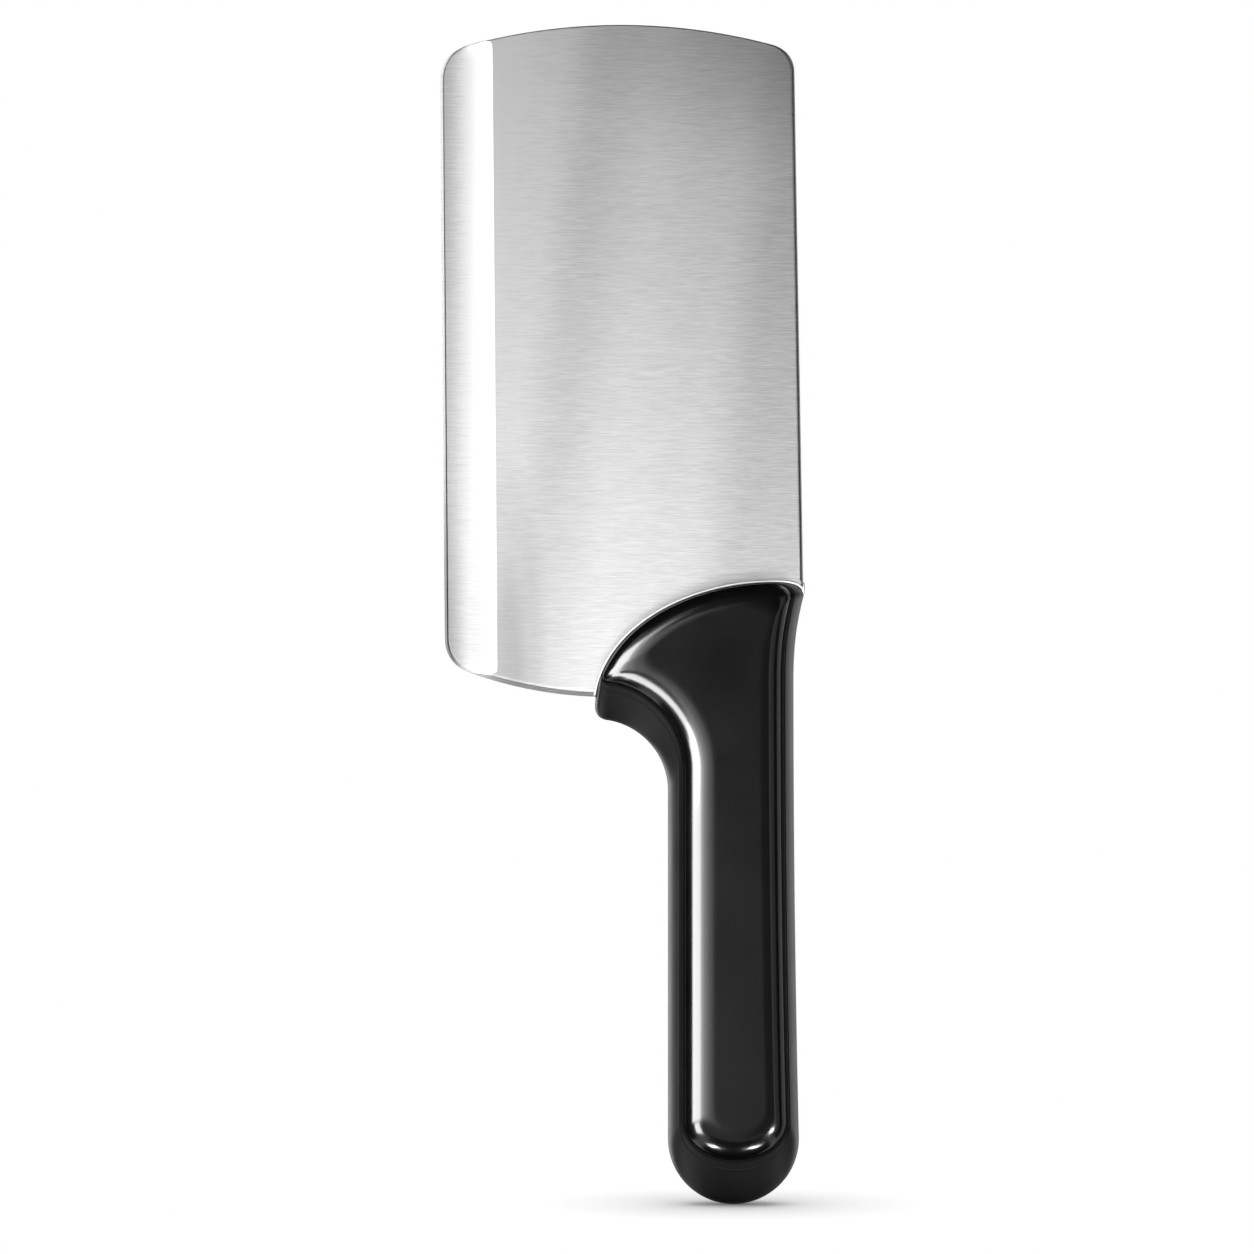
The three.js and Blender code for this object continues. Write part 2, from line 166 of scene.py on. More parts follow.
HEEL_Z = -BLADE_LENGTH / 2
TIP_Z = BLADE_LENGTH / 2


def edge_x(z):
    return -BLADE_WIDTH / 2 - EDGE_LEAN * z / BLADE_LENGTH


def spine_x(z):
    return BLADE_WIDTH / 2 - SPINE_LEAN * z / BLADE_LENGTH


MOUTH_Z = HEEL_Z + MOUTH_RISE
MOUTH_CORNER_Z = MOUTH_Z - MOUTH_CORNER_DROP
MOUTH_X = spine_x(MOUTH_CORNER_Z)
WAIST_X = MOUTH_X - WAIST_INSET
BUTT_RADIUS = GRIP_WIDTH / 2
GRIP_X = MOUTH_X - BUTT_INSET - BUTT_RADIUS
GRIP_FRONT_X = GRIP_X - BUTT_RADIUS


# Curves are functions from places between 0 and 1 to points (x, z) in the plane of the blade.

def at(x, z):
    return np.array([x, z], dtype=float)


def line(a, b):
    return lambda t: np.outer(1 - t, a) + np.outer(t, b)


def bend(a, b, c):
    return lambda t: np.outer((1 - t) ** 2, a) + np.outer(2 * t * (1 - t), b) + np.outer(t**2, c)


def sweep(a, b, c, d):
    def points(t):
        s = 1 - t
        first_half = np.outer(s**3, a) + np.outer(3 * s**2 * t, b)
        return first_half + np.outer(3 * s * t**2, c) + np.outer(t**3, d)

    return points


def arc(centre, radius_x, radius_z, start, end):
    def points(t):
        angle = start + (end - start) * t
        return centre + np.column_stack([radius_x * np.cos(angle), radius_z * np.sin(angle)])

    return points


def point_on(curve, place):
    return curve(np.array([place]))[0]


def left_of(run):
    """Unit vectors square to each step of a run, on its left."""
    run = run / np.linalg.norm(run, axis=1, keepdims=True)
    return np.column_stack([-run[:, 1], run[:, 0]])


def parallel(curve, inset, start=0.0, end=1.0):
    """A stretch of a curve, moved to its left."""
    nudge = 1e-4

    def points(t):
        along = start + (end - start) * t
        return curve(along) + inset * left_of(curve(along + nudge) - curve(along - nudge))

    return points


def falls_to_nought(curve, measure):
    """How far along a curve a measure of its points falls to nought, or its end if it never does."""
    if measure(point_on(curve, 1)) > 0:
        return 1.0
    above, below = 0.0, 1.0
    for _ in range(HALVINGS):
        middle = (above + below) / 2
        if measure(point_on(curve, middle)) > 0:
            above = middle
        else:
            below = middle
    return above


def outline_of(stretches):
    """Points round a closed run of (curve, steps), each curve starting where the last one ends."""
    return np.vstack([curve(np.arange(steps) / steps) for curve, steps in stretches])


def drawn_in(outline, distance):
    """A counter-clockwise outline moved inwards, square to its own line, by one distance or many."""
    run = np.roll(outline, -1, axis=0) - np.roll(outline, 1, axis=0)
    return outline + np.reshape(distance, (-1, 1)) * left_of(run)


def mix(a, b, share):
    return a + (b - a) * share


def blade_outline(edge, heel, spine, tip, tip_run, tip_reach, heel_run, heel_reach):
    """The outline of the blade and tang, drawn in by an inset on each side."""
    tip_arm = TIP_RADIUS - tip
    heel_arm = HEEL_RADIUS - heel
    tip_centre = at(0, TIP_Z - TIP_RADIUS)
    heel_centre = at(HEEL_LOW_X, HEEL_Z + HEEL_RADIUS)

    def tip_angle(x):
        return math.acos((x - tip_centre[0]) / tip_arm)

    def heel_angle(x):
        return -math.acos((x - heel_centre[0]) / heel_arm)

    def tip_arc(from_x, to_x):
        return arc(tip_centre, tip_arm, tip_arm, tip_angle(from_x), tip_angle(to_x))

    def heel_arc(from_x, to_x):
        return arc(heel_centre, heel_arm, heel_arm, heel_angle(from_x), heel_angle(to_x))

    def tip_point(x):
        return point_on(tip_arc(x, x), 0)

    def heel_point(x):
        return point_on(heel_arc(x, x), 0)

    edge_tip = tip_point(edge_x(TIP_Z) + edge)
    edge_heel = heel_point(edge_x(HEEL_Z) + edge)
    spine_tip = tip_point(spine_x(TIP_Z) - spine)
    edge_start = at(edge_x(edge_tip[1] - tip_run) + edge, edge_tip[1] - tip_run)
    edge_end = at(edge_x(edge_heel[1] + heel_run) + edge, edge_heel[1] + heel_run)
    tip_end = tip_point(edge_tip[0] + tip_reach)
    heel_start = heel_point(edge_heel[0] + heel_reach)
    grind_tip_x = edge_x(TIP_Z) + GRIND_WIDTH + GRIND_END_FLARE
    grind_heel_x = edge_x(HEEL_Z) + GRIND_WIDTH + GRIND_END_FLARE

    half_tang = TANG_WIDTH / 2
    tang_left = GRIP_X - half_tang
    tang_right = GRIP_X + half_tang
    tang_end_z = BUTT_END_Z + TANG_END_GAP + half_tang
    tang_round = arc(at(GRIP_X, tang_end_z), half_tang, half_tang, math.pi, 2 * math.pi)
    heel_shoulder = heel_point(tang_left - SHOULDER_RUN)
    tang_top = at(tang_left, HEEL_Z - SHOULDER_RUN)
    shoulder_low = at(WAIST_X - SHOULDER_COVER, HEEL_Z + SHOULDER_RUN)
    shoulder_high = at(WAIST_X - SHOULDER_COVER, MOUTH_CORNER_Z - SHOULDER_COVER)
    spine_end = at(MOUTH_X - spine, MOUTH_CORNER_Z - COLLAR_WIDTH)
    spine_top_z = spine_tip[1] - TIP_SPINE_CORNER
    spine_top = at(spine_x(spine_top_z) - spine, spine_top_z)
    tip_start_x = spine_tip[0] - TIP_SPINE_CORNER

    return outline_of([
        (line(edge_start, edge_end), STRAIGHT_STEPS),
        (bend(edge_end, edge_heel, heel_start), CORNER_STEPS),
        (heel_arc(heel_start[0], grind_heel_x), CORNER_STEPS),
        (heel_arc(grind_heel_x, heel_shoulder[0]), CURVE_STEPS),
        (bend(heel_shoulder, at(tang_left, heel_shoulder[1]), tang_top), CORNER_STEPS),
        (line(tang_top, at(tang_left, tang_end_z)), STRAIGHT_STEPS),
        (tang_round, CORNER_STEPS),
        (line(at(tang_right, tang_end_z), at(tang_right, HEEL_Z)), STRAIGHT_STEPS),
        (line(at(tang_right, HEEL_Z), shoulder_low), 1),
        (line(shoulder_low, shoulder_high), 1),
        (line(shoulder_high, spine_end), 1),
        (line(spine_end, spine_top), STRAIGHT_STEPS),
        (bend(spine_top, spine_tip, tip_point(tip_start_x)), CORNER_STEPS),
        (tip_arc(tip_start_x, grind_tip_x), CURVE_STEPS),
        (tip_arc(grind_tip_x, tip_end[0]), CORNER_STEPS),
        (bend(tip_end, edge_tip, edge_start), CORNER_STEPS),
    ])


# The handle's mouth on the blade, from the spine down to the tip of the wing
WING_TIP = at(GRIP_FRONT_X - WING_REACH, HEEL_Z - WING_DROP)
MOUTH = sweep(
    at(MOUTH_X - MOUTH_CORNER_RUN, MOUTH_Z),
    at(MOUTH_X - MOUTH_CORNER_RUN - MOUTH_PULL_SPINE, MOUTH_Z),
    at(WING_TIP[0] - MOUTH_LEAN, WING_TIP[1] + MOUTH_PULL_WING),
    WING_TIP,
)
MOUTH_LENGTH = np.linalg.norm(np.diff(MOUTH(np.linspace(0, 1, LENGTH_STEPS)), axis=0), axis=1).sum()


def handle_outline(grip, wing, spine, butt, butt_lift, mouth_inset, tip_round):
    """The outline of the handle, or one drawn in from it by an inset on each side."""
    radius = CHOIL_RADIUS + grip
    choil = at(GRIP_FRONT_X - CHOIL_RADIUS, WING_TIP[1] + wing - radius)
    edge = parallel(MOUTH, mouth_inset)
    corner_x = MOUTH_X - spine
    mouth_start = falls_to_nought(edge, lambda p: p[0] - (corner_x - MOUTH_CORNER_RUN))
    tip_place = falls_to_nought(edge, lambda p: np.linalg.norm(p - choil) - radius)
    tip = point_on(edge, tip_place)
    mouth_end = tip_place - tip_round / MOUTH_LENGTH
    choil_start = math.atan2(tip[1] - choil[1], tip[0] - choil[0]) - tip_round / radius

    left = GRIP_FRONT_X + grip
    right = MOUTH_X - BUTT_INSET - spine
    round_z = BUTT_END_Z + BUTT_RADIUS + butt_lift
    round_drop = BUTT_RADIUS + butt_lift - butt
    waist = at(WAIST_X - spine, HEEL_Z + WAIST_RISE)
    corner = at(corner_x, MOUTH_CORNER_Z - mouth_inset)
    swing = corner[1] - waist[1]
    mouth_top = point_on(edge, mouth_start)

    choil_curve = arc(choil, radius, radius, choil_start, 0)
    butt_middle = at((left + right) / 2, round_z)
    butt_curve = arc(butt_middle, (right - left) / 2, round_drop, math.pi, 2 * math.pi)
    waist_pull = at(waist[0], waist[1] + swing / 2)
    corner_pull = at((waist[0] + corner_x) / 2, corner[1] - swing / 4)
    return outline_of([
        (choil_curve, CURVE_STEPS),
        (line(at(left, choil[1]), at(left, round_z)), STRAIGHT_STEPS),
        (butt_curve, BUTT_STEPS),
        (bend(at(right, round_z), at(waist[0], (round_z + waist[1]) / 2), waist), CURVE_STEPS),
        (sweep(waist, waist_pull, corner_pull, corner), CORNER_STEPS),
        (bend(corner, at(corner_x, mouth_top[1]), mouth_top), CORNER_STEPS),
        (parallel(MOUTH, mouth_inset, mouth_start, mouth_end), CURVE_STEPS),
        (bend(point_on(edge, mouth_end), tip, point_on(choil_curve, 0)), CORNER_STEPS),
    ])


# The places in a handle outline that lie over the blade: its corner at the spine and its mouth
MOUTH_FIRST = CURVE_STEPS + STRAIGHT_STEPS + BUTT_STEPS + CURVE_STEPS + CORNER_STEPS
MOUTH_LAST = MOUTH_FIRST + CORNER_STEPS + CURVE_STEPS


def along_handle(elsewhere, on_mouth):
    """A value for each point of a handle outline, with its own value along the mouth."""
    values = np.full(MOUTH_LAST + CORNER_STEPS, float(elsewhere))
    values[MOUTH_FIRST:MOUTH_LAST] = on_mouth
    return values


def eased_along_handle(elsewhere, on_mouth):
    """The same, eased in at the corner by the spine and out round the tip of the wing."""
    values = along_handle(elsewhere, on_mouth)
    place = np.linspace(0, 1, CORNER_STEPS)
    ease = place**2 * (3 - 2 * place)
    values[MOUTH_FIRST:MOUTH_FIRST + CORNER_STEPS] = mix(elsewhere, on_mouth, ease)
    values[MOUTH_LAST:] = mix(on_mouth, elsewhere, ease)
    return values


CORE_INSETS = {"grip": 0, "wing": 0, "spine": 0, "butt": 0, "butt_lift": 0, "tip_round": WING_TIP_ROUND}
SEAM_INSETS = {
    "grip": SEAM_INSET_GRIP,
    "wing": SEAM_INSET_WING,
    "spine": SEAM_INSET_SPINE,
    "butt": SEAM_INSET_BUTT,
    "butt_lift": SEAM_LIFT_BUTT,
    "tip_round": SEAM_TIP_ROUND,
}
FACE_INSETS = {
    "grip": SEAM_INSET_GRIP + BORDER_GRIP,
    "wing": SEAM_INSET_WING + BORDER_GRIP,
    "spine": SEAM_INSET_SPINE + BORDER_SPINE,
    "butt": SEAM_INSET_BUTT + BORDER_BUTT,
    "butt_lift": SEAM_LIFT_BUTT + BORDER_LIFT,
    "tip_round": FACE_TIP_ROUND,
}


# Meshes

def link(thing):
    bpy.context.scene.collection.objects.link(thing)
    return thing


def mesh_object(name, vertices, faces, sharp_loops=()):
    """A smooth mesh in metres with its faces turned outwards. Edges within a sharp loop stay crisp."""
    mesh = bpy.data.meshes.new(name)
    mesh.from_pydata((np.asarray(vertices) * MM).tolist(), [], faces)
    shape = bmesh.new()
    shape.from_mesh(mesh)
    bmesh.ops.recalc_face_normals(shape, faces=shape.faces)
    for face in shape.faces:
        face.smooth = True
    for loop in sharp_loops:
        for edge in shape.edges:
            if edge.verts[0].index in loop and edge.verts[1].index in loop:
                edge.smooth = False
    shape.to_mesh(mesh)
    shape.free()
    return link(bpy.data.objects.new(name, mesh))


def skin(count, rings, hoop=False):
    """Faces between rings of so many points each. A hoop closes on its first ring, others are capped."""
    faces = []
    for ring in range(rings if hoop else rings - 1):
        here = ring * count
        there = (ring + 1) % rings * count
        for i in range(count):
            j = (i + 1) % count
            faces.append((here + i, here + j, there + j, there + i))
    if not hoop:
        last = (rings - 1) * count
        faces.append(tuple(range(count))[::-1])
        faces.append(tuple(range(last, last + count)))
    return faces


def lofted(rings, hoop=False):
    """Vertices and faces through matching rings. Each ring is an outline and its depths, which are
    distances from the middle plane towards the front."""
    count = len(rings[0][0])
    vertices = []
    for outline, depths in rings:
        places = MIDDLE_Y - np.broadcast_to(depths, count)
        vertices += np.column_stack([outline[:, 0], places, outline[:, 1]]).tolist()
    return vertices, skin(count, len(rings), hoop)


def ring_loops(rings, picked):
    count = len(rings[0][0])
    total = len(rings)
    return [range(ring % total * count, (ring % total + 1) * count) for ring in picked]


def turned_to_back(rings):
    return [(outline, -np.asarray(depths)) for outline, depths in rings]


def heel_inset(height):
    """How far the heel's border is drawn in at a depth, given as a share of half the blade."""
    if height < CHAMFER_END:
        return HEEL_CHAMFER * max(0, height - CHAMFER_START) / (CHAMFER_END - CHAMFER_START)
    rise = (height - CHAMFER_END) / (1 - CHAMFER_END)
    return HEEL_CHAMFER + HEEL_SHOULDER * (1 - math.sqrt(1 - rise**2))


def blade_ring(edge, depth, share):
    """One ring of the blade, where share runs from the honed line to the grind line."""
    height = depth / HALF_BLADE
    rounding = 1 - math.sqrt(max(0, 1 - height**2))
    outline = blade_outline(
        edge=edge,
        heel=heel_inset(min(1, height)),
        spine=SPINE_EASE * rounding,
        tip=TIP_EASE * rounding,
        tip_run=mix(TIP_EDGE_CORNER, GRIND_END_RUN, share),
        tip_reach=mix(TIP_EDGE_CORNER, -GRIND_END_FLARE, share),
        heel_run=mix(HEEL_EDGE_CORNER, GRIND_END_RUN, share),
        heel_reach=mix(HEEL_EDGE_CORNER, -GRIND_END_FLARE, share),
    )
    return outline, depth


def make_blade():
    """The blade and tang, from the honed edge over the hollow bevel to the flat faces, on both sides."""
    half = [blade_ring(0, HALF_HONED_EDGE, 0), blade_ring(HONED_WIDTH, HALF_STEP, 0)]
    for step in range(BEVEL_RINGS + 1):
        share = 1 - (1 - step / BEVEL_RINGS) ** BEVEL_CROWDING
        hollowed = share - 4 * GRIND_HOLLOW * share * (1 - share)
        edge = mix(HONED_WIDTH + STEP_WIDTH, GRIND_WIDTH, share)
        half.append(blade_ring(edge, mix(HALF_LAND, HALF_BLADE, hollowed), share))
    rings = turned_to_back(half)[::-1] + half
    middle = len(half)
    # The grind lines, and the rings of the honed strip and its step
    crisp = [0, *range(middle - 3, middle + 3), len(rings) - 1]
    return mesh_object("blade_steel", *lofted(rings), ring_loops(rings, crisp))


def make_core(name, to_back):
    """Half of the handle's core: a hoop that rises from its border to the ledge under the scale."""
    mouth_inset = COLLAR_WIDTH
    outer = handle_outline(**CORE_INSETS, mouth_inset=mouth_inset)
    seat = handle_outline(**SEAM_INSETS, mouth_inset=mouth_inset)
    lift = np.where(outer[:, 1] > HEEL_Z, along_handle(0, HALF_BLADE), 0)
    lift_share = 1 - lift / SEAM_DEPTH
    groove = eased_along_handle(GROOVE_DEPTH, MOUTH_GROOVE)

    shares = 1 - np.cos(np.linspace(0, math.pi / 2, BORDER_RINGS))
    shares = np.append(shares[1:], RIM_LINE_PLACE + RIM_LINE_HALF_WIDTH * np.array([-1, 0, 1]))
    rings = [(drawn_in(outer, PARTING_GROOVE), lift), (outer, lift + PARTING_GROOVE * lift_share)]
    for share in np.sort(shares):
        depth = SEAM_DEPTH * share**RIM_POWER
        if abs(share - RIM_LINE_PLACE) < RIM_LINE_HALF_WIDTH / 2:
            depth += RIM_LINE_HEIGHT
        rings.append((mix(outer, seat, share), lift + max(depth, 2 * PARTING_GROOVE) * lift_share))
    ledge = drawn_in(seat, SEAT_WIDTH)
    rings += [
        (drawn_in(seat, MOUTH_GROOVE), SEAM_DEPTH - groove),
        (ledge, SEAM_DEPTH - groove),
        (ledge, lift),
    ]
    # The parting groove, the rim's inner border and the ledge
    loops = ring_loops(rings, [0, 1, -4, -3, -2, -1])
    if to_back:
        rings = turned_to_back(rings)
    return mesh_object(name, *lofted(rings, hoop=True), loops)


def make_scale(name, to_back):
    """A gloss cover, from its foot in the shadow groove over the shoulder to the face."""
    mouth_inset = COLLAR_WIDTH + COLLAR_GAP
    seam = handle_outline(**SEAM_INSETS, mouth_inset=mouth_inset)
    face = handle_outline(**FACE_INSETS, mouth_inset=mouth_inset + BORDER_MOUTH)
    foot = drawn_in(seam, eased_along_handle(GROOVE_WIDTH, MOUTH_GROOVE))
    foot_depth = SEAM_DEPTH - eased_along_handle(GROOVE_DEPTH, MOUTH_GROOVE)
    height = FACE_DEPTH - foot_depth
    steep = 1 - np.cos(np.linspace(0, math.pi / 2, BORDER_RINGS)) ** (2 / SHOULDER_POWER)
    steep = steep[(steep > 0) & (steep < FLAT_START)]
    shares = np.append(steep, np.linspace(FLAT_START, 1, FACE_RINGS))
    rings = [(drawn_in(foot, BASE_CHAMFER), foot_depth), (foot, foot_depth + BASE_CHAMFER)]
    for share in shares:
        rise = math.sqrt(1 - (1 - share) ** SHOULDER_POWER)
        rings.append((mix(foot, face, share), foot_depth + np.maximum(height * rise, 2 * BASE_CHAMFER)))
    loops = ring_loops(rings, [0])
    if to_back:
        rings = turned_to_back(rings)
    return mesh_object(name, *lofted(rings), loops)


def squared(wave):
    """A sine or cosine that turns a circle into a square with rounded corners."""
    return math.copysign(abs(wave) ** COLLAR_SQUARENESS, wave)


def bead(side):
    """Half of the collar: a rounded bead on one face of the blade, along the mouth from spine to heel."""
    heel_place = falls_to_nought(parallel(MOUTH, COLLAR_WIDTH), lambda p: p[1] - HEEL_Z)
    middle_line = parallel(MOUTH, COLLAR_WIDTH / 2)
    start = point_on(middle_line, 0)
    corner = at(MOUTH_X, start[1])
    spine_end = at(MOUTH_X, MOUTH_CORNER_Z)
    path = np.vstack([
        bend(spine_end, corner, start)(np.arange(CORNER_STEPS) / CORNER_STEPS),
        parallel(MOUTH, COLLAR_WIDTH / 2, 0, heel_place)(np.linspace(0, 1, CURVE_STEPS)),
    ])
    across = left_of(np.gradient(path, axis=0))
    angles = np.linspace(0, math.pi, BEAD_SIDES)
    vertices = []
    for point, aside in zip(path, across):
        for angle in angles:
            x, z = point + aside * COLLAR_WIDTH / 2 * squared(math.cos(angle))
            depth = HALF_BLADE - COLLAR_SINK + (COLLAR_PROUD + COLLAR_SINK) * squared(math.sin(angle))
            vertices.append((x, MIDDLE_Y - side * depth, z))
    return vertices, skin(BEAD_SIDES, len(path))


def make_collar():
    """A bead on each face of the blade, joined by an end that wraps round the spine."""
    vertices, faces = [], []
    angles = np.linspace(0, 2 * math.pi, 2 * BEAD_SIDES, endpoint=False)
    middle = at(MOUTH_X, MOUTH_CORNER_Z + COLLAR_END_HALF_HEIGHT)
    reach = [COLLAR_END_PROUD * np.cos(angles), COLLAR_END_HALF_HEIGHT * np.sin(angles)]
    loop = middle + np.column_stack(reach)
    far = HALF_BLADE + COLLAR_PROUD
    turn = COLLAR_PROUD / 2
    depths = [-far, turn - far, far - turn, far]
    sizes = [COLLAR_END_TAPER, 1, 1, COLLAR_END_TAPER]
    wrap = lofted([(mix(middle, loop, size), depth) for size, depth in zip(sizes, depths)])
    for more_vertices, more_faces in (bead(1), bead(-1), wrap):
        start = len(vertices)
        vertices += more_vertices
        faces += [tuple(start + i for i in face) for face in more_faces]
    return mesh_object("collar_bead", vertices, faces)


# Materials

NOISE_LOW = 0.3  # nearly all of a noise lies between these
NOISE_HIGH = 0.7
STREAKS = (240, 240, 7600)  # streaks of the brushing to a metre, along x, y and z
LONG_STREAKS = (60, 60, 2600)

# Painted sheen and shade across the blade's face, standing in for reflections, as (place, tone) from
# start to end on a slanting line
PAINTED_SHEEN = [(0, 1), (0.19, 0.84), (0.33, 0.56), (0.5, 0.74), (0.72, 0.62), (0.9, 0.3)]
PAINTED_SHEEN_START = -40
PAINTED_SHEEN_END = 43
PAINTED_SHEEN_LEAN = 0.117
# Painted shade: the bevel's colour is darkened towards the edge
EDGE_SHADE = 7  # the bevel is a little darker this near the edge
EDGE_TONE = 0.65

# Soft patches of painted shade in the steel's colour, at the heel, the tip corner and the heel's edge,
# with (place, tone) stops from the middle outwards
HEEL_PAINTED_SHADE = {"middle": (-27, -72), "reach": (12, 62), "stops": [(0.15, 0.57), (0.5, 0.8), (0.9, 1)]}
TIP_PAINTED_SHADE = {"middle": (44, 82), "reach": (74, 42), "stops": [(0.1, 0.66), (1, 1)]}
EDGE_PAINTED_SHADE = {"middle": (-43, -72), "reach": (8, 52), "stops": [(0.2, 0.7), (1, 1)]}


def grey(level):
    return level, level, level


class Nodes:
    """Adds shader nodes to a tree. An input takes a value, or another node's output."""

    def __init__(self, tree):
        self.tree = tree

    def add(self, kind, inputs=(), **settings):
        node = self.tree.nodes.new("ShaderNode" + kind)
        for name, value in settings.items():
            setattr(node, name, value)
        for name, value in dict(inputs).items():
            self.put(node.inputs[name], value)
        return node

    def put(self, socket, value):
        if isinstance(value, bpy.types.NodeSocket):
            self.tree.links.new(value, socket)
        else:
            socket.default_value = value

    def output(self, shader):
        self.put(self.tree.nodes["Material Output"].inputs["Surface"], shader.outputs[0])

    def noise(self, scale, detail, stretch=(1, 1, 1)):
        spot = self.add("TexCoord").outputs["Object"]
        mapped = self.add("Mapping", {"Vector": spot, "Scale": stretch}).outputs[0]
        grain = self.add("TexNoise", {"Vector": mapped, "Scale": scale, "Detail": detail})
        return grain.outputs[0]

    def combine(self, operation, a, b):
        return self.add("Math", {0: a, 1: b}, operation=operation).outputs[0]

    def portion(self, value, start, end):
        """How far a value lies from start to end, between 0 and 1."""
        return self.add("MapRange", {"Value": value, "From Min": start, "From Max": end}).outputs[0]

    def between(self, noise, low, high):
        """A noise spread over a range of plain numbers."""
        spread = {"From Min": NOISE_LOW, "From Max": NOISE_HIGH, "To Min": low, "To Max": high}
        return self.add("MapRange", {"Value": noise, **spread}).outputs[0]

    def tint(self, noise, dark, light):
        """A noise spread between two colours."""
        ramp = self.add("ValToRGB", {"Fac": noise})
        ends = zip(ramp.color_ramp.elements, (NOISE_LOW, NOISE_HIGH), (dark, light))
        for element, place, colour in ends:
            element.position = place
            element.color = (*colour, 1)
        return ramp.outputs[0]

    def ramp(self, value, stops):
        """A soft run of greys through (place, tone) stops."""
        ramp = self.add("ValToRGB", {"Fac": value})
        ramp.color_ramp.interpolation = "EASE"
        elements = ramp.color_ramp.elements
        while len(elements) < len(stops):
            elements.new(1)
        for element, (place, tone) in zip(elements, stops):
            element.position = place
            element.color = (*grey(tone), 1)
        return ramp.outputs[0]

    def patch(self, spot, middle, reach, stops):
        """A soft run of greys outwards from a point (x, z) of the blade's face, in an ellipse, for
        patches of painted shade.
        """
        scale = [1 / (far * MM) for far in reach]
        shift = [-place / far for place, far in zip(middle, reach)]
        sizes = {"Location": (shift[0], 0, shift[1]), "Scale": (scale[0], 0, scale[1])}
        mapped = self.add("Mapping", {"Vector": spot, **sizes}).outputs[0]
        away = self.add("VectorMath", {0: mapped}, operation="LENGTH").outputs["Value"]
        return self.ramp(away, stops)

    def bump(self, height, strength, distance):
        values = {"Height": height, "Strength": strength, "Distance": distance}
        return self.add("Bump", values).outputs[0]


def new_material(name):
    material = bpy.data.materials.new(name)
    material.use_nodes = True
    return material, Nodes(material.node_tree), material.node_tree.nodes["Principled BSDF"]


def shade(nodes, shader, values):
    for name, value in values.items():
        nodes.put(shader.inputs[name], value)


def brushed_steel():
    """Satin steel with fine streaks across the blade, which spread reflections along it, and painted
    sheen and shade in its colour.
    """
    material, nodes, shader = new_material("brushed_steel")
    streaks = nodes.noise(scale=1, detail=3, stretch=STREAKS)
    long_streaks = nodes.noise(scale=1, detail=2, stretch=LONG_STREAKS)
    spot = nodes.add("TexCoord").outputs["Object"]
    slant = nodes.add("VectorMath", {0: spot, 1: (1, 0, -PAINTED_SHEEN_LEAN)}, operation="DOT_PRODUCT")
    across = nodes.portion(slant.outputs["Value"], PAINTED_SHEEN_START * MM, PAINTED_SHEEN_END * MM)
    along_x = nodes.add("SeparateXYZ", {0: spot}).outputs["X"]
    from_edge = nodes.portion(along_x, edge_x(0) * MM, (edge_x(0) + EDGE_SHADE) * MM)

    # The streaks mixed with painted sheen, then painted shade towards the edge and at the heel
    both = nodes.combine("ADD", streaks, nodes.ramp(across, PAINTED_SHEEN))
    streaks_with_painted_shade = nodes.combine("MULTIPLY", both, 0.5)
    for tone in (nodes.ramp(from_edge, [(0, EDGE_TONE), (1, 1)]), nodes.patch(spot, **HEEL_PAINTED_SHADE)):
        streaks_with_painted_shade = nodes.combine("MULTIPLY", streaks_with_painted_shade, tone)
    colour = nodes.tint(streaks_with_painted_shade, grey(0.52), grey(0.94))
    # More painted shade at the tip corner and along the heel's edge
    for tone in (nodes.patch(spot, **TIP_PAINTED_SHADE), nodes.patch(spot, **EDGE_PAINTED_SHADE)):
        colour = nodes.add("VectorMath", {0: colour, 1: tone}, operation="MULTIPLY").outputs[0]

    shade(nodes, shader, {
        "Metallic": 1,
        "Base Color": colour,
        "Roughness": nodes.between(long_streaks, 0.37, 0.39),
        "Anisotropic": 0.7,
        "Tangent": nodes.add("Tangent", direction_type="RADIAL", axis="X").outputs[0],
        "Normal": nodes.bump(streaks, strength=0.06, distance=0.04 * MM),
    })
    return material


def polished_steel():
    material, nodes, shader = new_material("polished_steel")
    haze = nodes.noise(scale=900, detail=3)
    shade(nodes, shader, {
        "Metallic": 1,
        "Base Color": nodes.tint(haze, grey(0.88), grey(0.94)),
        "Roughness": nodes.between(haze, 0.44, 0.54),
    })
    return material


def satin_black():
    """Moulded satin plastic with a fine even grain."""
    material, nodes, shader = new_material("satin_black")
    grain = nodes.noise(scale=3800, detail=2)
    patches = nodes.noise(scale=70, detail=3)
    shade(nodes, shader, {
        "Base Color": nodes.tint(patches, grey(0.013), grey(0.018)),
        "Roughness": nodes.between(patches, 0.36, 0.44),
        "Normal": nodes.bump(grain, strength=0.12, distance=0.03 * MM),
    })
    return material


def gloss_black():
    """Polished black plastic, with faint haze and the slight waviness of a moulding."""
    material, nodes, shader = new_material("gloss_black")
    haze = nodes.noise(scale=55, detail=4)
    waves = nodes.noise(scale=90, detail=1)
    shade(nodes, shader, {
        "Base Color": nodes.tint(haze, grey(0.004), grey(0.006)),
        "Roughness": nodes.between(haze, 0.16, 0.2),
        "IOR": 1.45,
        "Normal": nodes.bump(waves, strength=0.03, distance=0.1 * MM),
    })
    return material


def rivet_steel():
    material, nodes, shader = new_material("rivet_steel")
    grain = nodes.noise(scale=1500, detail=3)
    shade(nodes, shader, {
        "Metallic": 1,
        "Base Color": nodes.tint(grain, (0.55, 0.55, 0.56), (0.68, 0.68, 0.69)),
        "Roughness": nodes.between(grain, 0.3, 0.42),
        "Normal": nodes.bump(grain, strength=0.1, distance=0.02 * MM),
    })
    return material


# The knife

def dress(piece, node, material):
    piece.data.materials.append(material)
    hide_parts(node)
    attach(piece, "root")
    return piece


